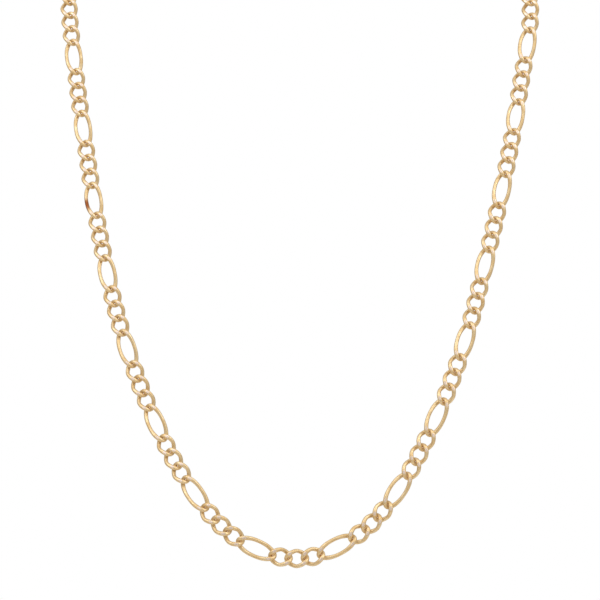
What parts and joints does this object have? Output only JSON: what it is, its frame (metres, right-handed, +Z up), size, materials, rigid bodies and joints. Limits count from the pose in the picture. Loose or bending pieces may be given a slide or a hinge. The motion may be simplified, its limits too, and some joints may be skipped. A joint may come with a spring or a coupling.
{
  "type": "figaro chain necklace",
  "caption": "Closed loop of flattened curb links, runs of short links between single long ones, hanging as it does round a neck, with a clasp at the nape.",
  "frame": {"origin": "middle of the clasp at the nape of the neck, where the necklace rests when it is worn", "axes": "+Z up, -Y to the front of the wearer, +X to the right as seen from the front"},
  "size_m": [0.1098, 0.0735, 0.1644],
  "materials": {
    "gold": "polished yellow gold with bright-cut flats"
  },
  "bodies": {
    "root": {"chain_left": "gold", "chain_right": "gold", "clasp": "gold", "ring_left": "gold", "ring_right": "gold"}
  },
  "joints": []
}
